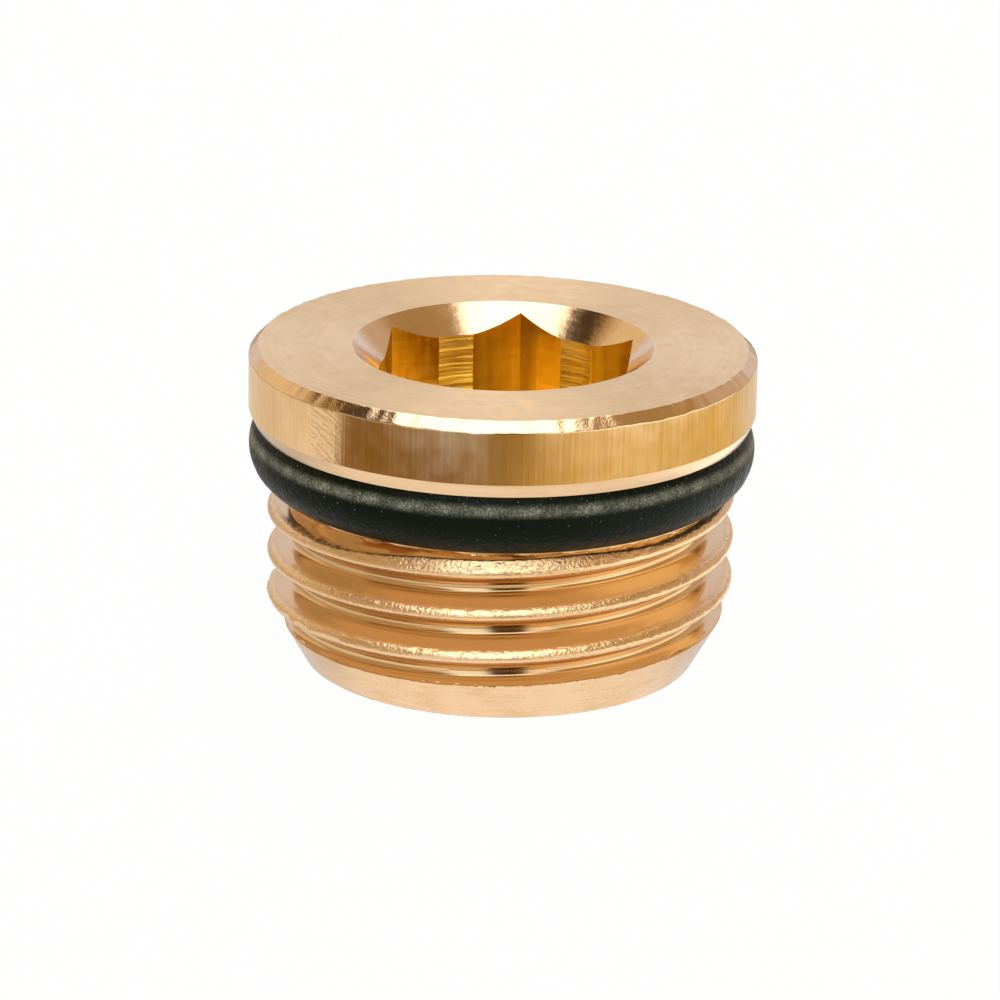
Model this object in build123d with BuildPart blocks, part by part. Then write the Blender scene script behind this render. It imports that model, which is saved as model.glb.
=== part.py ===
"""Threaded plug, G 1/8: a turned brass screw plug with a hexagon socket and a chambered O-ring under its head.

Millimetres, +Z up. The plug stands on its flat thread end, the origin is the centre of that face.
The side turned to the camera is -Y.
"""

import math
import os

from build123d import *

# Whole plug
plug_height = 6.65
head_height = 1.576
top_chamfer = 0.2
rim_bevel_width = 0.125
rim_bevel_height = 0.285

# Pipe thread, right hand, one start
thread_diameter = 9.728
thread_pitch = 25.4 / 28
thread_angle = 55.0
crest_drop = 3.29
lead_in_depth = 0.764
lead_in_angle = 29.5

# Sealing ring and the chamber turned for it behind the head rim
ring_inside_diameter = 6.9
ring_section = 1.8
ring_clearance = 0.03
ring_hang = 0.514
chamber_wall_angle = 33.5
neck_corner_radius = 0.15

# Hexagon socket: drilled pilot, broached flats, countersunk mouth
socket_across_flats = 5.07
socket_depth = 3.2
socket_turn = 23.0
pilot_oversize = 0.06
chip_room = 0.5
pilot_point_angle = 118.0
mouth_margin = 0.188
mouth_angle = 90.0

# Radii and levels that follow from the sizes above
thread_radius = thread_diameter / 2
end_radius = thread_radius - lead_in_depth
lead_in_slope = math.tan(math.radians(lead_in_angle))
rim_level = plug_height - head_height

# The ring's centre hangs below the rim, with one clearance to neck, roof, chamber wall and first thread
ring_radius = (ring_inside_diameter + ring_section) / 2
ring_level = rim_level - ring_hang
ring_room = ring_section / 2 + ring_clearance
neck_radius = ring_radius - ring_room
roof_level = ring_level + ring_room
thread_top_level = ring_level - ring_room

# The chamber wall is a cone touching the ring's room, from the roof to the sharp rim, and the head follows it
wall_slope = math.tan(math.radians(chamber_wall_angle))
wall_touch_radius = ring_radius + ring_room * math.cos(math.radians(chamber_wall_angle))
wall_touch_level = ring_level + ring_room * math.sin(math.radians(chamber_wall_angle))
roof_radius = wall_touch_radius - (roof_level - wall_touch_level) * wall_slope
rim_radius = wall_touch_radius + (wall_touch_level - rim_level) * wall_slope
head_radius = rim_radius + rim_bevel_width

# Whitworth form: the groove between two crests, its width half a pitch at half depth, flat at crest and root
flank_slope = math.tan(math.radians(thread_angle / 2))
thread_depth = 0.640327 * thread_pitch
root_half_width = thread_pitch / 4 - thread_depth / 2 * flank_slope
cutter_margin = 0.1 * thread_pitch
cutter_half_width = thread_pitch / 4 + (thread_depth / 2 + cutter_margin) * flank_slope

# The groove starts on the +X side, whole turns below a crest on the camera side, and runs into the chamber
turns_below_crest = math.ceil((plug_height - crest_drop) / thread_pitch) + 2
cutter_start_level = plug_height - crest_drop + 0.75 * thread_pitch - turns_below_crest * thread_pitch
cutter_stop_level = thread_top_level + cutter_half_width + 0.35 * thread_pitch
cutter_run = cutter_stop_level - cutter_start_level
bar_bottom_level = cutter_start_level - thread_pitch
bar_length = plug_height - bar_bottom_level
shank_reach = thread_radius + cutter_margin
core_level = plug_height - top_chamfer

# The pilot is a little wider than the flats and deeper than they reach, the mouth is wider than the corners
pilot_radius = (socket_across_flats + pilot_oversize) / 2
pilot_floor_level = plug_height - socket_depth - chip_room
pilot_point_level = pilot_floor_level - pilot_radius / math.tan(math.radians(pilot_point_angle / 2))
corner_radius = socket_across_flats / 2 / math.cos(math.pi / 6)
mouth_radius = corner_radius + mouth_margin
mouth_foot_radius = socket_across_flats / 4
mouth_foot_level = plug_height - (mouth_radius - mouth_foot_radius) / math.tan(math.radians(mouth_angle / 2))

os.makedirs("parts", exist_ok=True)

# Plug body: one turned piece from the end face to the head
with BuildPart() as plug_body:
    # Bar at the crest diameter, with the thread's groove cut along a helix
    with BuildSketch(Plane.XY.offset(bar_bottom_level)):
        Circle(thread_radius)
    extrude(amount=bar_length)
    with BuildLine() as groove_path:
        Helix(thread_pitch, cutter_run, thread_radius, center=(0, 0, cutter_start_level))
    groove_plane = Plane(origin=groove_path.line @ 0, x_dir=(1, 0, 0), z_dir=groove_path.line % 0)
    with BuildSketch(groove_plane):
        with BuildLine():
            Polyline(
                (-thread_depth, -root_half_width),
                (-thread_depth, root_half_width),
                (cutter_margin, cutter_half_width),
                (cutter_margin, -cutter_half_width),
                close=True,
            )
        make_face()
    sweep(is_frenet=True, mode=Mode.SUBTRACT)

    # Shank: end face, lead-in cone, thread up to the ring, neck
    with BuildSketch(Plane.XZ):
        with BuildLine():
            Polyline(
                (0, 0),
                (end_radius, 0),
                (shank_reach, (shank_reach - end_radius) / lead_in_slope),
                (shank_reach, thread_top_level),
                (neck_radius, thread_top_level),
                (neck_radius, core_level),
                (0, core_level),
                close=True,
            )
        make_face()
    revolve(axis=Axis.Z, mode=Mode.INTERSECT)

    # Head, hollowed below its rim as the ring chamber
    with BuildSketch(Plane.XZ):
        with BuildLine():
            Polyline(
                (0, roof_level),
                (roof_radius, roof_level),
                (rim_radius, rim_level),
                (head_radius, rim_level + rim_bevel_height),
                (head_radius, plug_height - top_chamfer),
                (head_radius - top_chamfer, plug_height),
                (0, plug_height),
                close=True,
            )
        make_face()
    revolve(axis=Axis.Z)
    neck_corners = [
        edge
        for edge in plug_body.edges().filter_by(GeomType.CIRCLE)
        if abs(edge.radius - neck_radius) < 1e-6
    ]
    fillet(neck_corners, neck_corner_radius)

    # The socket: pilot with its drill point, then the broached flats, then the countersunk mouth
    with BuildSketch(Plane.XZ):
        with BuildLine():
            Polyline(
                (0, plug_height),
                (0, pilot_point_level),
                (pilot_radius, pilot_floor_level),
                (pilot_radius, plug_height),
                close=True,
            )
        make_face()
    revolve(axis=Axis.Z, mode=Mode.SUBTRACT)
    with BuildSketch(Plane.XY.offset(plug_height)):
        RegularPolygon(socket_across_flats / 2, 6, major_radius=False, rotation=socket_turn)
    extrude(amount=-socket_depth, mode=Mode.SUBTRACT)
    with BuildSketch(Plane.XZ):
        with BuildLine():
            Polyline(
                (0, plug_height),
                (0, mouth_foot_level),
                (mouth_foot_radius, mouth_foot_level),
                (mouth_radius, plug_height),
                close=True,
            )
        make_face()
    revolve(axis=Axis.Z, mode=Mode.SUBTRACT)

# Sealing ring: round section, stretched on the neck
with BuildPart() as o_ring:
    with BuildSketch(Plane.XZ):
        with Locations((ring_radius, ring_level)):
            Circle(ring_section / 2)
    revolve(axis=Axis.Z)

plug_body.part.label = "plug_body"
export_step(plug_body.part, "parts/plug_body.step")
o_ring.part.label = "o_ring"
export_step(o_ring.part, "parts/o_ring.step")
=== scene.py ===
"""Looks of the threaded plug: turned brass with tool marks and burrs, a dusty rubber ring, a white studio."""

import math

import bpy
import numpy as np
from mathutils import Matrix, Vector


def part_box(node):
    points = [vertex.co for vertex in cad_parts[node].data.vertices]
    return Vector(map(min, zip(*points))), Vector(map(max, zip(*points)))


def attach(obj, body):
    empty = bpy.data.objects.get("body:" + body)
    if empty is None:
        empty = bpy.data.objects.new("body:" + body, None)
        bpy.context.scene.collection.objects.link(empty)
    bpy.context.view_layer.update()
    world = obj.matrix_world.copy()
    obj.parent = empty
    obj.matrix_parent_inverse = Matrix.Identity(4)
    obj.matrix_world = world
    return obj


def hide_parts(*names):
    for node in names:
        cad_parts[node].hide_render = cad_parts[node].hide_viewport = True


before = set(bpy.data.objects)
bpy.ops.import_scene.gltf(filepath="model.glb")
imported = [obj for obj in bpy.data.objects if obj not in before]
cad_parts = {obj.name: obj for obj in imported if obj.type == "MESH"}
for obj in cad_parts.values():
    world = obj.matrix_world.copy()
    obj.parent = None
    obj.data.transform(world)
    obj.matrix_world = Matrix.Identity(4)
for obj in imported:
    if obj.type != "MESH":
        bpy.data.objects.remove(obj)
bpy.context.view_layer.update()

# Sizes below are in millimetres, and the model is in metres
MM = 0.001
DEG = math.radians(1)

# Sizes read from the frame
body_low, body_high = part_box("plug_body")
ring_low, ring_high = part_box("o_ring")
HEAD_RADIUS = body_high.x / MM
PLUG_HEIGHT = body_high.z / MM
RING_SECTION = (ring_high.z - ring_low.z) / MM
RING_RADIUS = ring_high.x / MM - RING_SECTION / 2
RING_LEVEL = (ring_high.z + ring_low.z) / 2 / MM

# Head, with the waviness of the chamfer's two edges
HEAD_HEIGHT = 1.576
TOP_CHAMFER = 0.2
RIM_BEVEL_WIDTH = 0.125
RIM_BEVEL_HEIGHT = 0.285
EDGE_RADIUS = 0.02
EDGE_SPREAD = 0.05
LOWER_EDGE_FINE = 0.006
LOWER_EDGE_COARSE = 0.004
UPPER_EDGE_FINE = 0.01
MOUTH_BORDER = 0.3
RIM_LEVEL = PLUG_HEIGHT - HEAD_HEIGHT
RIM_RADIUS = HEAD_RADIUS - RIM_BEVEL_WIDTH
CHAMFER_LEVEL = PLUG_HEIGHT - TOP_CHAMFER
TOP_RADIUS = HEAD_RADIUS - TOP_CHAMFER

# Chamber for the ring
RING_CLEARANCE = 0.03
CHAMBER_WALL_ANGLE = 33.5 * DEG
CHAMBER_CORNER_RADIUS = 0.08
RING_ROOM = RING_SECTION / 2 + RING_CLEARANCE
NECK_RADIUS = RING_RADIUS - RING_ROOM
ROOF_LEVEL = RING_LEVEL + RING_ROOM
THREAD_TOP = RING_LEVEL - RING_ROOM
ROOF_RADIUS = RIM_RADIUS - (ROOF_LEVEL - RIM_LEVEL) * math.tan(CHAMBER_WALL_ANGLE)

# Ring: the flash line of its mould, and the room above the shoulder it sits on
FLASH_HEIGHT = 0.008
FLASH_WIDTH = 0.05
FLASH_TURN = 0.55
RING_SEAT_MARGIN = 0.01
RING_SEAT_GAP = 0.005

# Thread, 55 degree form with rounded crests and roots
THREAD_RADIUS = 9.728 / 2
THREAD_PITCH = 25.4 / 28
THREAD_DEPTH = 0.640327 * THREAD_PITCH
FLANK_ANGLE = 27.5 * DEG
CREST_DROP = 3.29
CREST_ROUND = 0.137329 * THREAD_PITCH
CREST_REACH = CREST_ROUND * math.cos(FLANK_ANGLE)
ROOT_ROUND = 0.17
ROOT_REACH = ROOT_ROUND * math.cos(FLANK_ANGLE)
ROOT_POINT = THREAD_RADIUS - THREAD_DEPTH / 2 - THREAD_PITCH / 4 / math.tan(FLANK_ANGLE)
ROOT_MIDDLE = ROOT_POINT + ROOT_ROUND / math.sin(FLANK_ANGLE)

# Wear of the crests: a worn upper edge, a wide worn face on the front of the top crest, and burrs
CREST_EASE = 0.015
CREST_SHARP = 0.05
CREST_BLEND = 0.06
CREST_WORN_WIDTH = 0.09
RUN_OUT_SLOPE = 0.6
RUN_OUT_DEPTH = 0.15
RUN_OUT_SPAN = 0.1
RUN_OUT_BLEND = 0.012
BURR_HEIGHT = 0.0045
BURR_OFFSET = 0.1
BURR_SPREAD = 0.07
BURR_SHIFT = 97

# Low shoulder under the ring, which the top of the thread runs into
SEAT_RADIUS = 4.69
SEAT_FLARE = 1.11
SEAT_FLARE_FRONT = 2.9
SEAT_BLEND = 0.015
SEAT_LEVEL = THREAD_TOP + 0.075
SHOULDER_LEVEL = SEAT_LEVEL + 0.05
SHOULDER_INNER_RADIUS = NECK_RADIUS + 0.15
SHOULDER_LEVELS = (SEAT_LEVEL - 0.1, SEAT_LEVEL, SHOULDER_LEVEL)
SHOULDER_REACH = (THREAD_RADIUS + 0.08, SEAT_RADIUS, SEAT_RADIUS)

# Lead-in cone, with the torn edge that it leaves on the thread
LEAD_IN_DEPTH = 0.764
LEAD_IN_SLOPE = math.tan(29.5 * DEG)
LEAD_IN_BLEND = 0.012
TORN_EDGE_FINE = 0.014
TORN_EDGE_COARSE = 0.02
TORN_EDGE_SPREAD = 0.06
END_RADIUS = THREAD_RADIUS - LEAD_IN_DEPTH

# Socket
ACROSS_FLATS = 5.07
SOCKET_DEPTH = 3.2
SOCKET_TURN = 23.0 * DEG
PILOT_RADIUS = ACROSS_FLATS / 2 + 0.03
CHIP_ROOM = 0.5
DRILL_HALF_ANGLE = 59.0 * DEG
CORNER_RADIUS = ACROSS_FLATS / 2 / math.cos(math.pi / 6)
MOUTH_RADIUS = CORNER_RADIUS + 0.188

# Mesh resolution
COLUMNS = 504
CREST_ROWS = 13
UPPER_FLANK_ROWS = 7
ROOT_ROWS = 8
LOWER_FLANK_ROWS = 3
SOCKET_ROWS = 4
ARC_ROWS = 4
RING_COLUMNS = 480
RING_ROWS = 72
SHARP_ANGLE = 28 * DEG

# Brass as light leaves it once. The socket's two copies hold painted light: the flats are painted deeper
# orange for light bouncing inside the socket, and the drilled strips are painted brighter than brass
BRASS = (0.83, 0.605, 0.385)
SOCKET_BRASS_PAINTED_GLOW = (0.84, 0.615, 0.155)
STRIP_BRASS_PAINTED_LIGHT = (1.0, 0.79, 0.29)
THREAD_BRASS = (0.83, 0.59, 0.35)

# Radii over which the marks of the crests and of the lead-in cone set in
CREST_ROUGHNESS_EDGE = (THREAD_RADIUS - 0.26, THREAD_RADIUS - 0.14)
CREST_GRAIN_EDGE = (THREAD_RADIUS - 0.22, THREAD_RADIUS - 0.08)
LEAD_IN_MARKS_EDGE = (END_RADIUS - 0.03, END_RADIUS - 0.01)

# Rubber and the dust on it, with the levels of the dust and of a painted highlight band
DUST_EDGE = (RING_LEVEL - 0.2, RING_LEVEL + 0.6)
HIGHLIGHT_BAND_LEVELS = (RING_LEVEL + 0.14, RING_LEVEL + 0.32)
RUBBER = (0.002, 0.0055, 0.002)
RUBBER_BLOOM = (0.009, 0.017, 0.0085)
PAINTED_HIGHLIGHT_BAND = (0.36, 0.39, 0.31)
DUST = (0.13, 0.15, 0.115)

# Light of the surround
WHITE = (1.0, 1.0, 1.0)
FRONT_LEFT = (0.48, 0.42, 0.34)
FRONT_MIDDLE = (1.15, 1.07, 0.95)
FRONT_PALE = (1.18, 1.34, 1.5)
FRONT_RIGHT = (1.9, 2.0, 2.1)
BACK_MIDDLE = (0.9, 0.89, 0.86)
BACK_SIDES = (0.66, 0.52, 0.42)
SIDE_PANELS = (0.84, 0.84, 1.0)
WARM_PATCH = (0.89, 0.72, 0.47)
SIDE_WALLS = (0.6, 0.4, 0.2)
GAP_RIGHT = (0.45, 0.3, 0.14)
GAP_LEFT = (0.06, 0.035, 0.015)
CAMERA_DARK = (0.07, 0.045, 0.03)
OVERHEAD_BOX = (2.7, 2.6, 2.5)
CAMERA_LEFT_EDGE = -6 * DEG
CAMERA_RIGHT_EDGE = 14 * DEG
CAMERA_SOFT = 3 * DEG

# Light of the card on the table, with the radii over which its rings change
FOOT_EDGE = (5.2, 6.5)
APRON_EDGE = (8, 9)
MIDDLE_EDGE = (15, 16.5)
FAR_EDGE = (26, 29)
CARD_BROWN = (0.24, 0.115, 0.0)
CARD_GOLD = (0.8, 0.56, 0.15)
CARD_PALE = (0.96, 0.85, 0.67)
CARD_PALE_BEHIND = (0.84, 0.73, 0.57)
CARD_CAMERA_DARK = (0.1, 0.065, 0.04)
CARD_DARK_ENDS = (0.2, 0.1, 0.05)
FOOT_BEHIND = (0.74, 0.71, 0.71)
FOOT_FRONT = (1.06, 1.01, 1.0)
FOOT_OUTER = (1.0, 0.93, 0.84)
APRON_LEFT = (0.68, 0.66, 0.62)
APRON_FRONT = (0.86, 0.75, 0.6)
APRON_RIGHT = (1.42, 1.46, 1.4)

# Table and card
FLOOR_HALF = 2000.0
FLOOR_LEVEL = -0.01
FLOOR_DARK = (0.78, 0.78, 0.78)
FLOOR_PALE = (0.82, 0.82, 0.82)
FLOOR_SEEN_GLOW = 0.97
FLOOR_MIRRORED_GLOW = 0.85
CARD_LEVEL = -0.005
CARD_INNER = 1.0
CARD_OUTER = 150.0
CARD_STEPS = 96

# Camera of the photo
CAMERA_PLACE = (-0.015, -106.73, 39.87)
CAMERA_PITCH = 18.93 * DEG
CAMERA_ROLL = 0.99 * DEG
CAMERA_LENS = 195.05
CAMERA_SENSOR = 36.0
CAMERA_CLIP_START = 0.001


def ripple(seed, width):
    """A random wave around the plug, smooth over `width` columns, with mean 0 and spread 1."""
    waves = np.fft.rfft(np.random.default_rng(seed).normal(size=COLUMNS))
    waves *= np.exp(-0.5 * (np.arange(len(waves)) * width * 2.0 / COLUMNS) ** 2)
    waves[0] = 0
    wave = np.fft.irfft(waves, COLUMNS)
    return wave / wave.std()


def column_angles():
    """Even columns, the nearest of them moved to the socket's corners and the edges of its drilled strips."""
    angles = np.arange(COLUMNS) * 2 * math.pi / COLUMNS
    strip_half = math.acos(ACROSS_FLATS / 2 / PILOT_RADIUS)
    for k in range(6):
        corner = SOCKET_TURN + k * math.pi / 3
        for place in (corner, corner + math.pi / 6 - strip_half, corner + math.pi / 6 + strip_half):
            place %= 2 * math.pi
            angles[np.argmin(np.abs(angles - place))] = place
    return np.sort(angles)


ANGLES = column_angles()


def linked_piece(name, mesh):
    """A new object in the scene that shows the mesh."""
    piece = bpy.data.objects.new(name, mesh)
    bpy.context.scene.collection.objects.link(piece)
    return piece


class Shell:
    """Collects bands of quads around the axis and turns them into one mesh."""

    def __init__(self):
        self.points = []
        self.faces = []
        self.slots = []
        self.count = 0

    def band(self, radius, level, slot, climb=0):
        """Rows of (radius, level), each one value or one per column.

        A helical band closes on itself `climb` rows higher.
        """
        rows = len(radius)
        radius = np.stack([np.broadcast_to(r, COLUMNS) for r in radius])
        level = np.stack([np.broadcast_to(z, COLUMNS) for z in level])
        points = np.stack([radius * np.cos(ANGLES), radius * np.sin(ANGLES), level], axis=-1)
        ids = self.count + np.arange(rows * COLUMNS).reshape(rows, COLUMNS)
        ahead = np.roll(ids, -1, axis=1)
        ahead[:, -1] = np.roll(ids[:, 0], -climb)
        faces = np.stack([ids[:-1], ahead[:-1], ahead[1:], ids[1:]], axis=-1)
        if climb:
            faces = np.concatenate([faces[:-climb].reshape(-1, 4), faces[-climb:, :-1].reshape(-1, 4)])
        faces = faces.reshape(-1, 4)
        self.points.append(points.reshape(-1, 3))
        self.faces.append(faces)
        self.slots.append(np.resize(slot, len(faces)))
        self.count += rows * COLUMNS

    def make(self, name, materials):
        """The piece: points in one place are merged, and faces left without an area are dropped."""
        points = np.concatenate(self.points)
        faces = np.concatenate(self.faces)
        slots = np.concatenate(self.slots)
        _, first, place = np.unique(points.round(6), axis=0, return_index=True, return_inverse=True)
        faces = place.reshape(-1)[faces]
        corners = np.sort(faces, axis=1)
        distinct = 1 + (np.diff(corners, axis=1) > 0).sum(1)
        faces = faces[distinct > 2]
        slots = slots[distinct > 2]
        polygons = [list(dict.fromkeys(face)) for face in faces.tolist()]
        mesh = bpy.data.meshes.new(name)
        mesh.from_pydata((points[first] * MM).tolist(), [], polygons)
        for material in materials:
            mesh.materials.append(material)
        mesh.polygons.foreach_set("material_index", slots.astype(np.int32))
        mesh.polygons.foreach_set("use_smooth", np.ones(len(polygons), bool))
        mesh.validate()
        mesh.set_sharp_from_angle(angle=SHARP_ANGLE)
        mesh.update()
        return linked_piece(name, mesh)


def rounded(points, radius):
    """An open profile whose inner corners are rounded by an arc, with a point before and after each arc."""
    out = [points[0]]
    for before, corner, after in zip(points, points[1:], points[2:]):
        before, corner, after = np.array([before, corner, after])
        a = (before - corner) / np.linalg.norm(before - corner)
        b = (after - corner) / np.linalg.norm(after - corner)
        half = math.acos(np.clip(a @ b, -1, 1)) / 2
        reach = radius / math.tan(half)
        middle = corner + (a + b) / np.linalg.norm(a + b) * radius / math.sin(half)
        start = corner + a * reach - middle
        stop = corner + b * reach - middle
        turn = math.acos(np.clip(start @ stop / radius**2, -1, 1))
        out.append(tuple(corner + a * (reach + radius)))
        for t in np.linspace(0, 1, ARC_ROWS):
            arm = (start * math.sin((1 - t) * turn) + stop * math.sin(t * turn)) / math.sin(turn)
            out.append(tuple(middle + arm))
        out.append(tuple(corner + b * (reach + radius)))
    out.append(points[-1])
    return np.array(out).T


def lesser(a, b, ease):
    """The smaller of two values, with an eased corner between them."""
    return (a + b - np.sqrt((a - b) ** 2 + ease**2)) / 2


def bell(value, spread):
    """1 where value is 0, falling to 0 on both sides."""
    return np.exp(-((value / spread) ** 2))


def thread_profile(offset, ease):
    """Radius of the thread at an axial offset from a crest's middle, its upper edge worn down to `ease`."""
    signed = (offset + THREAD_PITCH / 2) % THREAD_PITCH - THREAD_PITCH / 2
    away = np.abs(signed)
    back = THREAD_PITCH / 2 - away
    flank = THREAD_RADIUS - THREAD_DEPTH / 2 - (away - THREAD_PITCH / 4) / math.tan(FLANK_ANGLE)
    crest = THREAD_RADIUS - CREST_ROUND + np.sqrt(np.maximum(CREST_ROUND**2 - away**2, 0))
    root = ROOT_MIDDLE - np.sqrt(np.maximum(ROOT_ROUND**2 - back**2, 0))
    form = np.where(away < CREST_REACH, crest, np.where(back < ROOT_REACH, root, flank))
    return lesser(form, THREAD_RADIUS + ease - signed, CREST_BLEND)


def top_crest_wear(crest):
    """1 where a crest's level is that of the top crest on the front, 0 away from there."""
    return np.clip(1.5 - np.abs(crest - PLUG_HEIGHT + CREST_DROP) / RUN_OUT_SPAN, 0, 1)


def run_out(offset, crest):
    """Radius of the top crest at an axial offset above its level: a worn face makes it wide on the front."""
    wear = top_crest_wear(crest)
    depth = RUN_OUT_DEPTH * wear
    face = THREAD_RADIUS - CREST_EASE - RUN_OUT_SLOPE * offset
    inner = offset - depth / RUN_OUT_SLOPE
    flank = THREAD_RADIUS - CREST_EASE - depth - inner / math.tan(FLANK_ANGLE)
    return np.where((offset > 0) & (wear > 0), lesser(face, flank, RUN_OUT_BLEND), 0)


def pitch_steps():
    """Rows of one pitch as axial offsets from the crest, closest on the crest and in the root."""
    half = THREAD_PITCH / 2
    worn_to = CREST_REACH + CREST_WORN_WIDTH
    crest = np.linspace(-CREST_REACH, worn_to, CREST_ROWS, endpoint=False)
    upper = np.linspace(worn_to, half - ROOT_REACH, UPPER_FLANK_ROWS, endpoint=False)
    turns = np.linspace(-1, 1, ROOT_ROWS, endpoint=False) * (math.pi / 2 - FLANK_ANGLE)
    root = half + ROOT_ROUND * np.sin(turns)
    lower = np.linspace(half + ROOT_REACH, 2 * half - CREST_REACH, LOWER_FLANK_ROWS, endpoint=False)
    return np.concatenate([crest, upper, root, lower])


def burr_field(rows):
    """Torn grain for a helical band, rough over a few rows and columns, with spread 1."""
    grain = np.random.default_rng(11).normal(size=(rows, COLUMNS))
    grain += 0.7 * (np.roll(grain, 1, axis=1) + np.roll(grain, -1, axis=1))
    grain += 0.5 * (np.roll(grain, 1, axis=0) + np.roll(grain, -1, axis=0))
    return grain / grain.std()


def add_thread(shell, slot):
    """The helical thread as one band, from the end face's edge up to the shoulder under the ring."""
    crest_level = PLUG_HEIGHT - CREST_DROP + (ANGLES / (2 * math.pi) - 0.75) * THREAD_PITCH
    below = math.ceil((PLUG_HEIGHT - CREST_DROP) / THREAD_PITCH) + 2
    above = math.ceil((SHOULDER_LEVEL - PLUG_HEIGHT + CREST_DROP) / THREAD_PITCH) + 2
    steps = pitch_steps()
    burrs = burr_field((below + above) * len(steps)).reshape(below + above, len(steps), COLUMNS)
    ease = CREST_EASE + CREST_SHARP * np.cos(ANGLES) ** 2
    flare = SEAT_FLARE + (SEAT_FLARE_FRONT - SEAT_FLARE) * top_crest_wear(crest_level)
    strength = 1 + 0.5 * ripple(2, 12)
    torn_edge = TORN_EDGE_FINE * ripple(4, 4) + TORN_EDGE_COARSE * ripple(5, 16)
    radii = []
    levels = []
    for turn in range(below + above):
        for row, offset in enumerate(steps):
            crest = crest_level + (turn - below) * THREAD_PITCH
            level = np.clip(crest + offset, 0, SHOULDER_LEVEL)
            radius = np.maximum(thread_profile(level - crest_level, ease), run_out(level - crest, crest))
            torn = BURR_HEIGHT * math.exp(-((offset - BURR_OFFSET) / BURR_SPREAD) ** 2)
            radius = radius + torn * burrs[turn, row] * np.roll(strength, BURR_SHIFT * turn)
            seat = SEAT_RADIUS - (SEAT_LEVEL - level) * flare
            radius = -lesser(-radius, -np.minimum(seat, SEAT_RADIUS), SEAT_BLEND)
            cone = END_RADIUS + level * LEAD_IN_SLOPE
            radius = radius + torn_edge * bell(radius - cone, TORN_EDGE_SPREAD)
            radius = lesser(radius, cone, LEAD_IN_BLEND)
            radius = np.minimum(radius, np.interp(level, SHOULDER_LEVELS, SHOULDER_REACH))
            radii.append(radius)
            levels.append(level)
    shell.band(radii, levels, slot, climb=len(steps))
    return radii[0], radii[-1]


def add_chamber(shell, thread_radius, thread_slot, slot):
    """From the top of the thread over the shoulder and the neck to the rim."""
    shell.band([thread_radius, SHOULDER_INNER_RADIUS], [SHOULDER_LEVEL, SHOULDER_LEVEL], thread_slot)
    corners = [
        (SHOULDER_INNER_RADIUS, SHOULDER_LEVEL),
        (NECK_RADIUS, SHOULDER_LEVEL),
        (NECK_RADIUS, ROOF_LEVEL),
        (ROOF_RADIUS, ROOF_LEVEL),
        (RIM_RADIUS, RIM_LEVEL),
    ]
    shell.band(*rounded(corners, CHAMBER_CORNER_RADIUS), slot)


def add_head(shell, slots):
    """From the rim to the mouth. The slots are those of bevel, side, chamfer and top."""
    corners = [
        (RIM_RADIUS, RIM_LEVEL),
        (HEAD_RADIUS, RIM_LEVEL + RIM_BEVEL_HEIGHT),
        (HEAD_RADIUS, CHAMFER_LEVEL),
        (TOP_RADIUS, PLUG_HEIGHT),
        (MOUTH_RADIUS + MOUTH_BORDER, PLUG_HEIGHT),
    ]
    lower_edge = LOWER_EDGE_FINE * ripple(21, 3) + LOWER_EDGE_COARSE * ripple(22, 10)
    upper_edge = UPPER_EDGE_FINE * ripple(23, 3)
    radii = []
    levels = []
    for radius, level in rounded(corners, EDGE_RADIUS).T:
        outer = radius > TOP_RADIUS + TOP_CHAMFER / 2
        high = level > CHAMFER_LEVEL + TOP_CHAMFER / 2
        at_lower = math.exp(-((level - CHAMFER_LEVEL) / EDGE_SPREAD) ** 2) if outer else 0.0
        at_upper = math.exp(-((radius - TOP_RADIUS) / EDGE_SPREAD) ** 2) if high else 0.0
        radii.append(radius + at_upper * upper_edge)
        levels.append(level + at_lower * lower_edge)
    radii.append(MOUTH_RADIUS)
    levels.append(PLUG_HEIGHT)
    corner_rows = ARC_ROWS + 2
    borders = [0] + [corner_rows * k + corner_rows // 2 for k in range(3)] + [len(radii) - 1]
    for slot, start, stop in zip(slots, borders, borders[1:]):
        shell.band(radii[start : stop + 1], levels[start : stop + 1], slot)


def add_socket(shell, cone_slot, flat_slot, drilled_slot):
    """Countersunk mouth, broached hexagon over the drilled pilot, and the drill point."""
    from_flat = (ANGLES - SOCKET_TURN) % (math.pi / 3) - math.pi / 6
    wall = np.maximum(ACROSS_FLATS / 2 / np.cos(from_flat), PILOT_RADIUS)
    edge_level = PLUG_HEIGHT - (MOUTH_RADIUS - wall)
    flat_floor = PLUG_HEIGHT - SOCKET_DEPTH
    pilot_floor = flat_floor - CHIP_ROOM
    point_level = pilot_floor - PILOT_RADIUS / math.tan(DRILL_HALF_ANGLE)
    steps = np.linspace(0, 1, SOCKET_ROWS)
    shell.band(
        [MOUTH_RADIUS + (wall - MOUTH_RADIUS) * t for t in steps],
        [PLUG_HEIGHT + (edge_level - PLUG_HEIGHT) * t for t in steps],
        cone_slot,
    )
    on_strip = wall < PILOT_RADIUS + 1e-6
    drilled = np.where(on_strip & np.roll(on_strip, -1), drilled_slot, flat_slot)
    shell.band([wall] * len(steps), [edge_level + (flat_floor - edge_level) * t for t in steps], drilled)
    shell.band([wall, PILOT_RADIUS, PILOT_RADIUS], [flat_floor, flat_floor, pilot_floor], drilled_slot)
    shell.band(
        [PILOT_RADIUS * (1 - t) for t in steps],
        [pilot_floor + (point_level - pilot_floor) * t for t in steps],
        drilled_slot,
    )


def make_plug(materials):
    """The brass body as one mesh, walked along its profile from the end face to the drill point."""
    shell = Shell()
    slot = {name: i for i, name in enumerate(materials)}
    end_radius, top_radius = add_thread(shell, slot["thread"])
    shell.band([0, end_radius * 0.5, end_radius], [0, 0, 0], slot["end"])
    add_chamber(shell, top_radius, slot["thread"], slot["side"])
    add_head(shell, [slot[name] for name in ("bevel", "side", "chamfer", "top")])
    add_socket(shell, slot["cone"], slot["flats"], slot["drilled"])
    return shell.make("plug", materials.values())


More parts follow.
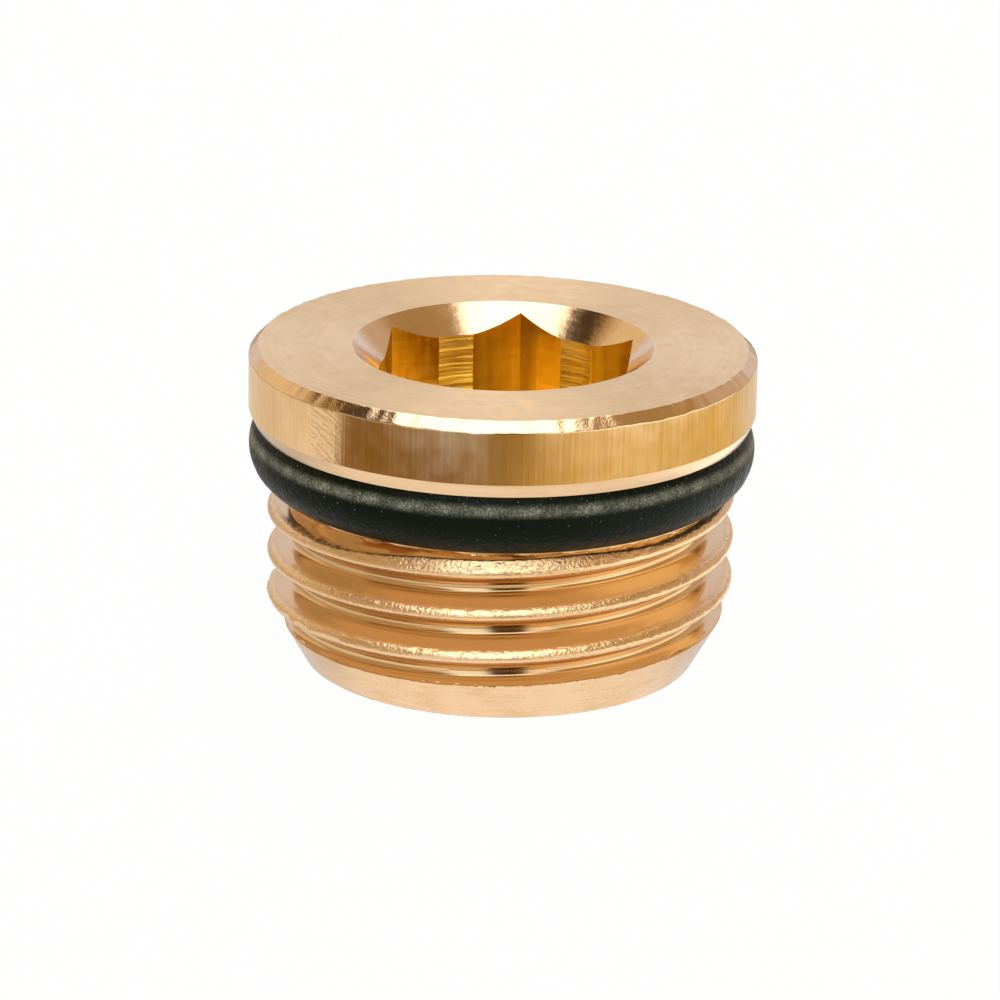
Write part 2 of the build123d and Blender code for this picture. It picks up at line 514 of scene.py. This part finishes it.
def make_ring(material):
    """The rubber ring, with the low flash line that its mould leaves inside and outside."""
    around = np.arange(RING_COLUMNS) * 2 * math.pi / RING_COLUMNS
    section = np.arange(RING_ROWS) * 2 * math.pi / RING_ROWS
    around, section = np.meshgrid(around, section, indexing="ij")
    flash = FLASH_HEIGHT * bell(np.sin(section + FLASH_TURN), FLASH_WIDTH)
    radius = RING_SECTION / 2 - FLASH_HEIGHT + flash
    reach = RING_RADIUS + radius * np.cos(section)
    level = RING_LEVEL + radius * np.sin(section)
    seated = np.maximum(level, SHOULDER_LEVEL + RING_SEAT_GAP)
    level = np.where(reach < SEAT_RADIUS + RING_SEAT_MARGIN, seated, level)
    points = np.stack([reach * np.cos(around), reach * np.sin(around), level], axis=-1)
    ids = np.arange(RING_COLUMNS * RING_ROWS).reshape(RING_COLUMNS, RING_ROWS)
    ahead = np.roll(ids, -1, axis=0)
    faces = np.stack([ids, ahead, np.roll(ahead, -1, axis=1), np.roll(ids, -1, axis=1)], axis=-1)
    mesh = bpy.data.meshes.new("ring")
    mesh.from_pydata((points.reshape(-1, 3) * MM).tolist(), [], faces.reshape(-1, 4).tolist())
    mesh.materials.append(material)
    mesh.polygons.foreach_set("use_smooth", np.ones(len(mesh.polygons), bool))
    mesh.update()
    return linked_piece("ring", mesh)


class Graph:
    """Short calls that add nodes to one tree and link them."""

    def __init__(self, tree):
        self.tree = tree
        tree.nodes.clear()

    def add(self, kind, settings=None, **inputs):
        """A new node. An input's name has underscores for its spaces."""
        node = self.tree.nodes.new(kind)
        for name, value in (settings or {}).items():
            setattr(node, name, value)
        for name, value in inputs.items():
            self.feed(node.inputs[name.replace("_", " ")], value)
        return node

    def feed(self, socket, value):
        """Links a socket to an output, or sets it to a plain value."""
        if isinstance(value, bpy.types.NodeSocket):
            self.tree.links.new(value, socket)
        else:
            socket.default_value = value

    def math(self, operation, a, b=0.0):
        node = self.add("ShaderNodeMath", {"operation": operation})
        self.feed(node.inputs[0], a)
        self.feed(node.inputs[1], b)
        return node.outputs[0]

    def times(self, *factors):
        product = factors[0]
        for factor in factors[1:]:
            product = self.math("MULTIPLY", product, factor)
        return product

    def rise(self, value, low, high, bottom=0.0, top=1.0):
        """A smooth step from bottom to top while value goes from low to high."""
        node = self.add("ShaderNodeMapRange", {"interpolation_type": "SMOOTHSTEP"}, Value=value)
        for name, number in (("From Min", low), ("From Max", high), ("To Min", bottom), ("To Max", top)):
            node.inputs[name].default_value = number
        return node.outputs[0]

    def between(self, value, low, high, soft):
        """1 between low and high, with soft edges."""
        above = self.rise(value, low - soft, low + soft)
        below = self.rise(value, high - soft, high + soft, 1.0, 0.0)
        return self.times(above, below)

    def colours(self, factor, a, b):
        """Colour a where the factor is 0, colour b where it is 1."""
        node = self.add("ShaderNodeMix", {"data_type": "RGBA"})
        self.feed(node.inputs[0], factor)
        self.feed(node.inputs[6], a if isinstance(a, bpy.types.NodeSocket) else (*a, 1.0))
        self.feed(node.inputs[7], b if isinstance(b, bpy.types.NodeSocket) else (*b, 1.0))
        return node.outputs[2]

    def places(self):
        """Places on the object in millimetres."""
        scale = self.add("ShaderNodeMapping", Vector=self.add("ShaderNodeTexCoord").outputs["Object"])
        scale.inputs["Scale"].default_value = (1 / MM, 1 / MM, 1 / MM)
        return scale.outputs[0]

    def stretched(self, vector, x, y, z):
        node = self.add("ShaderNodeVectorMath", {"operation": "MULTIPLY"})
        self.feed(node.inputs[0], vector)
        node.inputs[1].default_value = (x, y, z)
        return node.outputs[0]

    def noise(self, vector, scale, detail=2.0):
        return self.add("ShaderNodeTexNoise", Vector=vector, Scale=scale, Detail=detail).outputs["Fac"]

    def from_axis(self, vector):
        """Distance from the plug's axis."""
        flat = self.stretched(vector, 1, 1, 0)
        return self.add("ShaderNodeVectorMath", {"operation": "LENGTH"}, Vector=flat).outputs["Value"]

    def heading(self, x, y):
        """Angle around the axis, 0 at the front and positive to the right."""
        return self.math("ARCTAN2", x, self.times(y, -1.0))

    def parts(self, vector):
        return self.add("ShaderNodeSeparateXYZ", Vector=vector).outputs


def new_material(name):
    """A new material, its empty graph and the graph's output."""
    material = bpy.data.materials.new(name)
    material.use_nodes = True
    graph = Graph(material.node_tree)
    output = graph.add("ShaderNodeOutputMaterial")
    return material, graph, output


def shaded(name):
    """A new material, its graph and its Principled shader."""
    material, graph, output = new_material(name)
    shader = graph.add("ShaderNodeBsdfPrincipled")
    graph.feed(output.inputs["Surface"], shader.outputs[0])
    return material, graph, shader


def brass(name, colour, roughness, marks, depth, tint=0.05, torn=None, turned=0.0):
    """Brass with tool marks of a height that `marks` gives and a size of `depth`, which also tint it.

    `torn` is the roughness of the thread's crests.
    `turned` stretches reflections across the rings of a turned face.
    """
    material, graph, shader = shaded(name)
    place = graph.places()
    height = marks(graph, place)
    shade = graph.math("ADD", graph.times(graph.noise(place, 1.3, 1.0), 0.4), graph.times(height, 0.6))
    deep = tuple(c * (1 - k * tint) for c, k in zip(colour, (1.0, 1.5, 2.5)))
    pale = tuple(min(c * (1 + 0.5 * tint), 1.0) for c in colour)
    graph.feed(shader.inputs["Base Color"], graph.colours(graph.rise(shade, 0.35, 0.65), deep, pale))
    shader.inputs["Metallic"].default_value = 1.0
    if torn:
        crest = graph.rise(graph.from_axis(place), *CREST_ROUGHNESS_EDGE, roughness, torn)
        graph.feed(shader.inputs["Roughness"], crest)
    else:
        smear = graph.rise(graph.noise(place, 3.0, 1.0), 0.3, 0.7, roughness * 0.9, roughness * 1.15)
        graph.feed(shader.inputs["Roughness"], smear)
    if turned:
        shader.inputs["Anisotropic"].default_value = turned
        shader.inputs["Anisotropic Rotation"].default_value = 0.25
        around = graph.add("ShaderNodeTangent", {"direction_type": "RADIAL", "axis": "Z"})
        graph.feed(shader.inputs["Tangent"], around.outputs[0])
    bump = graph.add("ShaderNodeBump", Height=height, Distance=depth * MM)
    bump.inputs["Strength"].default_value = 1.0
    graph.feed(shader.inputs["Normal"], bump.outputs[0])
    return material


def facing_marks(graph, place):
    """Rings that the facing tool leaves."""
    across = graph.add("ShaderNodeCombineXYZ", X=graph.from_axis(place)).outputs[0]
    swirl = graph.times(graph.noise(place, 1.5, 1.0), 0.06)
    return graph.math("ADD", graph.times(graph.noise(across, 6.0, 1.5), 0.8), swirl)


def top_marks(graph, place):
    """Rings of the facing tool with a few small pits."""
    cells = graph.add("ShaderNodeTexVoronoi", {"feature": "F1"}, Vector=place, Scale=3.0)
    rare = graph.rise(graph.parts(cells.outputs["Color"])[0], 0.8, 0.9)
    pits = graph.times(graph.rise(cells.outputs["Distance"], 0.06, 0.14, 1.0, 0.0), rare, 2.5)
    return graph.math("SUBTRACT", facing_marks(graph, place), pits)


def side_marks(graph, place):
    """Upright streaks, with short slanted dashes of chatter on the left."""
    streaks = graph.noise(graph.stretched(place, 14, 14, 0.5), 1.0, 2.0)
    x, y, z = graph.parts(place)
    heading = graph.heading(x, y)
    slant = 0.3
    arc = graph.times(heading, HEAD_RADIUS)
    across = graph.math("ADD", graph.times(arc, slant), z)
    along = graph.math("SUBTRACT", arc, graph.times(z, slant))
    slanted = graph.add("ShaderNodeCombineXYZ", X=graph.times(across, 12.0), Y=graph.times(along, 3.0))
    dashes = graph.rise(graph.noise(slanted.outputs[0], 1.0, 1.0), 0.4, 0.6)
    chatter = graph.between(heading, -47 * DEG, -38.5 * DEG, 2 * DEG)
    return graph.math("ADD", streaks, graph.times(dashes, chatter, 0.9))


def mouth_marks(graph, place):
    """Mottled rings in the countersunk mouth."""
    rings = graph.times(facing_marks(graph, place), 0.5)
    mottle = graph.times(graph.noise(place, 7.0, 2.0), 0.5)
    return graph.math("ADD", rings, mottle)


def edge_marks(graph, place):
    """Speckle of a chamfer cut with a dull tool."""
    return graph.noise(place, 24.0, 2.0)


def bevel_marks(graph, place):
    """A few faint rings."""
    return graph.noise(graph.stretched(place, 0.3, 0.3, 8), 1.0, 1.0)


def broach_marks(graph, place):
    """Upright scratches on the flats, crossed by faint level lines."""
    scratches = graph.noise(graph.stretched(place, 4, 4, 0.3), 1.0, 1.0)
    lines = graph.noise(graph.stretched(place, 0.5, 0.5, 6), 1.0, 2.0)
    return graph.math("ADD", graph.times(scratches, 0.6), graph.times(lines, 0.4))


def drill_marks(graph, place):
    """Level rings of the drill."""
    return graph.noise(graph.stretched(place, 0.4, 0.4, 7), 1.0, 2.0)


def thread_marks(graph, place):
    """Smooth flanks with a torn grain on the crests, and fine rings and grain on the lead-in cone."""
    axis = graph.from_axis(place)
    grain = graph.noise(place, 15.0, 2.0)
    torn = graph.times(grain, graph.rise(axis, *CREST_GRAIN_EDGE), 1.5)
    slope = graph.times(graph.parts(place)[2], LEAD_IN_SLOPE)
    lead_in = graph.rise(graph.math("SUBTRACT", axis, slope), *LEAD_IN_MARKS_EDGE)
    rings = graph.times(graph.noise(graph.stretched(place, 1.5, 1.5, 16), 1.0, 2.0), 0.6)
    turned = graph.math("ADD", rings, graph.times(grain, 0.5))
    return graph.math("ADD", torn, graph.times(turned, lead_in))


def rubber():
    """Moulded black rubber, grained and dusty, with most dust on its upper side, and a painted highlight band
    around its upper side.
    """
    material, graph, shader = shaded("seal_rubber")
    place = graph.places()
    height = graph.parts(place)[2]
    lying = graph.rise(height, *DUST_EDGE)
    dust = graph.add("ShaderNodeTexVoronoi", {"feature": "F1"}, Vector=place, Scale=11.0)
    size = graph.parts(dust.outputs["Color"])
    rare = graph.rise(graph.math("ADD", size[0], graph.times(lying, 0.3)), 0.86, 1.02)
    speck = graph.times(graph.rise(dust.outputs["Distance"], 0.1, 0.3, 1.0, 0.0), rare)
    # Painted highlight: a lighter band around the ring's upper side, broken into patches and grain
    line = graph.between(height, *HIGHLIGHT_BAND_LEVELS, 0.08)
    highlight_patches = graph.rise(graph.noise(place, 2.5, 2.0), 0.35, 0.65, 0.5, 1.0)
    painted_highlight = graph.times(line, highlight_patches, graph.rise(graph.noise(place, 24.0, 3.0), 0.35, 0.8, 0.25, 1.0))
    bloom = graph.times(graph.rise(graph.noise(place, 9.0, 3.0), 0.45, 0.7), lying)
    base = graph.colours(bloom, RUBBER, RUBBER_BLOOM)
    base = graph.colours(painted_highlight, base, PAINTED_HIGHLIGHT_BAND)
    graph.feed(shader.inputs["Base Color"], graph.colours(speck, base, DUST))
    graph.feed(shader.inputs["Roughness"], graph.rise(graph.noise(place, 5.0, 3.0), 0.3, 0.7, 0.3, 0.45))
    shader.inputs["Specular IOR Level"].default_value = 0.1
    grain = graph.math("ADD", graph.noise(place, 12.0, 3.0), speck)
    bump = graph.add("ShaderNodeBump", Height=grain, Distance=0.025 * MM)
    graph.feed(shader.inputs["Normal"], bump.outputs[0])
    return material


def front_colour(graph, heading):
    """Light of the surround in front of the plug: dim on the far left, brightest on the right."""
    colour = graph.colours(graph.rise(heading, -55 * DEG, -30 * DEG), FRONT_LEFT, FRONT_MIDDLE)
    colour = graph.colours(graph.between(heading, -34 * DEG, -4 * DEG, 7 * DEG), colour, FRONT_PALE)
    colour = graph.colours(graph.rise(heading, 110 * DEG, 160 * DEG), colour, FRONT_LEFT)
    right = graph.rise(heading, 15 * DEG, 55 * DEG)
    right = graph.times(right, graph.rise(heading, 110 * DEG, 160 * DEG, 1.0, 0.0))
    return graph.colours(right, colour, FRONT_RIGHT)


def sky_colour(graph, x, y, z):
    """Light from a direction: a bright box overhead, darker gaps beside it and the dark camera in front."""
    side = graph.math("ABSOLUTE", x)
    tilt = graph.math("ARCTAN2", x, z)
    heading = graph.heading(x, y)
    colour = graph.colours(graph.rise(side, 0.12, 0.45), BACK_MIDDLE, BACK_SIDES)
    panels = graph.times(graph.between(side, 0.3, 0.52, 0.06), graph.between(z, 0.1, 0.58, 0.05))
    colour = graph.colours(panels, colour, SIDE_PANELS)
    ahead = graph.rise(y, -0.45, 0.05, 1.0, 0.0)
    colour = graph.colours(ahead, colour, front_colour(graph, heading))
    warm = graph.between(tilt, -75 * DEG, -44 * DEG, 5 * DEG)
    warm = graph.times(warm, graph.between(y, 0.38, 0.8, 0.1))
    colour = graph.colours(warm, colour, WARM_PATCH)
    walls = graph.times(graph.rise(side, 0.4, 0.55), graph.rise(z, 0.1, 0.22))
    walls = graph.times(walls, graph.rise(y, 0.25, 0.42, 1.0, 0.0))
    colour = graph.colours(walls, colour, SIDE_WALLS)
    gap = graph.between(tilt, 23 * DEG, 52 * DEG, 5 * DEG)
    gap = graph.times(gap, graph.between(y, -0.75, 0.5, 0.12))
    colour = graph.colours(gap, colour, GAP_RIGHT)
    gap = graph.between(tilt, -44.5 * DEG, -31.5 * DEG, 2.5 * DEG)
    gap = graph.times(gap, graph.between(y, -0.75, 0.35, 0.12))
    colour = graph.colours(gap, colour, GAP_LEFT)
    camera = graph.between(heading, CAMERA_LEFT_EDGE, CAMERA_RIGHT_EDGE, CAMERA_SOFT)
    camera = graph.times(camera, graph.between(z, -0.3, 0.55, 0.08))
    colour = graph.colours(camera, colour, CAMERA_DARK)
    box = graph.between(tilt, -30 * DEG, 21.5 * DEG, 4 * DEG)
    box = graph.times(box, graph.between(y, -0.75, 0.25, 0.12))
    return graph.colours(box, colour, OVERHEAD_BOX)


def make_sky():
    """The studio around the plug, which the camera itself sees as white."""
    world = bpy.data.worlds.new("studio")
    bpy.context.scene.world = world
    world.use_nodes = True
    graph = Graph(world.node_tree)
    x, y, z = graph.parts(graph.add("ShaderNodeTexCoord").outputs["Generated"])
    seen = graph.add("ShaderNodeLightPath").outputs["Is Camera Ray"]
    colour = graph.colours(seen, sky_colour(graph, x, y, z), WHITE)
    sky = graph.add("ShaderNodeBackground", Color=colour)
    output = graph.add("ShaderNodeOutputWorld")
    graph.feed(output.inputs["Surface"], sky.outputs[0])


def floor_material():
    """A white light table: it glows for the camera and in reflections, and keeps a faint shadow."""
    material, graph, output = new_material("floor_white")
    shader = graph.add("ShaderNodeBsdfPrincipled")
    weave = graph.noise(graph.places(), 0.4, 0.0)
    graph.feed(shader.inputs["Base Color"], graph.colours(weave, FLOOR_DARK, FLOOR_PALE))
    shader.inputs["Roughness"].default_value = 0.9
    path = graph.add("ShaderNodeLightPath").outputs
    lit = graph.times(path["Is Camera Ray"], FLOOR_SEEN_GLOW)
    lit = graph.math("ADD", lit, graph.times(path["Is Glossy Ray"], FLOOR_MIRRORED_GLOW))
    lit = graph.math("ADD", lit, graph.times(path["Is Transmission Ray"], FLOOR_MIRRORED_GLOW))
    lit = graph.math("MINIMUM", lit, FLOOR_SEEN_GLOW)
    glow = graph.add("ShaderNodeEmission")
    mix = graph.add("ShaderNodeMixShader")
    graph.feed(mix.inputs[0], lit)
    graph.feed(mix.inputs[1], shader.outputs[0])
    graph.feed(mix.inputs[2], glow.outputs[0])
    graph.feed(output.inputs["Surface"], mix.outputs[0])
    return material


def far_card(graph, heading):
    """The card away from the plug, as the surround in front, with the camera's dark and two dark ends."""
    colour = front_colour(graph, heading)
    camera = graph.between(heading, CAMERA_LEFT_EDGE, CAMERA_RIGHT_EDGE, CAMERA_SOFT)
    colour = graph.colours(camera, colour, CARD_CAMERA_DARK)
    ends = graph.between(graph.math("ABSOLUTE", heading), 118 * DEG, 138 * DEG, 6 * DEG)
    return graph.colours(ends, colour, CARD_DARK_ENDS)


def middle_card(graph, heading):
    """The card that the head's side mirrors: brown in front, golden on the right, pale elsewhere."""
    colour = graph.colours(graph.rise(heading, -22 * DEG, 43 * DEG), CARD_BROWN, CARD_GOLD)
    behind = graph.rise(graph.math("ABSOLUTE", heading), 90 * DEG, 125 * DEG)
    pale = graph.colours(behind, CARD_PALE, CARD_PALE_BEHIND)
    left = graph.rise(heading, -72 * DEG, -66 * DEG, 1.0, 0.0)
    right = graph.rise(heading, 100 * DEG, 140 * DEG)
    return graph.colours(graph.math("MAXIMUM", left, right), colour, pale)


def near_card(graph, heading, axis):
    """The card around the foot, and the apron outside it that the flanks mirror."""
    front = graph.between(heading, -52 * DEG, 60 * DEG, 25 * DEG)
    foot = graph.colours(front, FOOT_BEHIND, FOOT_FRONT)
    foot = graph.colours(graph.rise(axis, *FOOT_EDGE), foot, FOOT_OUTER)
    apron = graph.colours(graph.rise(heading, -70 * DEG, -40 * DEG), APRON_LEFT, APRON_FRONT)
    apron = graph.colours(graph.rise(heading, 20 * DEG, 55 * DEG), apron, APRON_RIGHT)
    apron = graph.colours(graph.rise(heading, 110 * DEG, 160 * DEG), apron, APRON_LEFT)
    return graph.colours(graph.rise(axis, *APRON_EDGE), foot, apron)


def card_material():
    """A glowing card on the table, in rings of different colours around the plug."""
    material, graph, output = new_material("warm_card")
    place = graph.places()
    x, y, _ = graph.parts(place)
    heading = graph.heading(x, y)
    axis = graph.from_axis(place)
    colour = graph.colours(graph.rise(axis, *FAR_EDGE), middle_card(graph, heading), far_card(graph, heading))
    colour = graph.colours(graph.rise(axis, *MIDDLE_EDGE), near_card(graph, heading, axis), colour)
    glow = graph.add("ShaderNodeEmission", Color=colour)
    graph.feed(output.inputs["Surface"], glow.outputs[0])
    return material


def stage_piece(name, points, faces, material):
    """A flat piece of the stage from points in millimetres."""
    mesh = bpy.data.meshes.new(name)
    mesh.from_pydata([tuple(c * MM for c in p) for p in points], [], faces)
    mesh.materials.append(material)
    piece = linked_piece(name, mesh)
    return piece


def make_stage():
    """The table, and on it the card that only reflections see."""
    signs = ((-1, -1), (1, -1), (1, 1), (-1, 1))
    corners = [(FLOOR_HALF * x, FLOOR_HALF * y, FLOOR_LEVEL) for x, y in signs]
    stage_piece("floor", corners, [(0, 1, 2, 3)], floor_material())
    turn = [2 * math.pi * i / CARD_STEPS for i in range(CARD_STEPS)]
    rims = [(r * math.cos(a), r * math.sin(a), CARD_LEVEL) for r in (CARD_INNER, CARD_OUTER) for a in turn]
    following = [(i + 1) % CARD_STEPS for i in range(CARD_STEPS)]
    faces = [(i, k, CARD_STEPS + k, CARD_STEPS + i) for i, k in enumerate(following)]
    card = stage_piece("card", rims, faces, card_material())
    card.visible_camera = False
    card.visible_diffuse = False
    card.visible_shadow = False


def make_camera():
    """The camera that was fitted to the photo."""
    data = bpy.data.cameras.new("camera")
    data.lens = CAMERA_LENS
    data.sensor_width = CAMERA_SENSOR
    data.clip_start = CAMERA_CLIP_START
    camera = linked_piece("camera", data)
    camera.location = [c * MM for c in CAMERA_PLACE]
    camera.rotation_mode = "QUATERNION"
    look = Matrix.Rotation(math.pi / 2 - CAMERA_PITCH, 3, "X") @ Matrix.Rotation(CAMERA_ROLL, 3, "Z")
    camera.rotation_quaternion = look.to_quaternion()
    bpy.context.scene.camera = camera


plug_materials = {
    "thread": brass("brass_thread", THREAD_BRASS, 0.13, thread_marks, 0.012, tint=0.1, torn=0.27),
    "end": brass("brass_end", BRASS, 0.25, facing_marks, 0.004, turned=0.5),
    "bevel": brass("brass_bevel", BRASS, 0.15, bevel_marks, 0.003),
    "side": brass("brass_side", BRASS, 0.17, side_marks, 0.003, tint=0.08),
    "chamfer": brass("brass_chamfer", BRASS, 0.12, edge_marks, 0.003),
    "top": brass("brass_top", BRASS, 0.36, top_marks, 0.006, turned=0.75),
    "cone": brass("brass_cone", BRASS, 0.14, mouth_marks, 0.005),
    # Painted light: the socket's flats and drilled strips use brass copies painted deeper orange and brighter
    "flats": brass("brass_flats_painted_glow", SOCKET_BRASS_PAINTED_GLOW, 0.18, broach_marks, 0.007, tint=0.16),
    "drilled": brass("brass_drilled_painted_light", STRIP_BRASS_PAINTED_LIGHT, 0.3, drill_marks, 0.034, tint=0.1),
}
plug = make_plug(plug_materials)
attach(plug, "root")
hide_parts("plug_body")

ring = make_ring(rubber())
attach(ring, "root")
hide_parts("o_ring")

make_stage()
make_sky()
make_camera()
bpy.context.scene.view_settings.view_transform = "Standard"
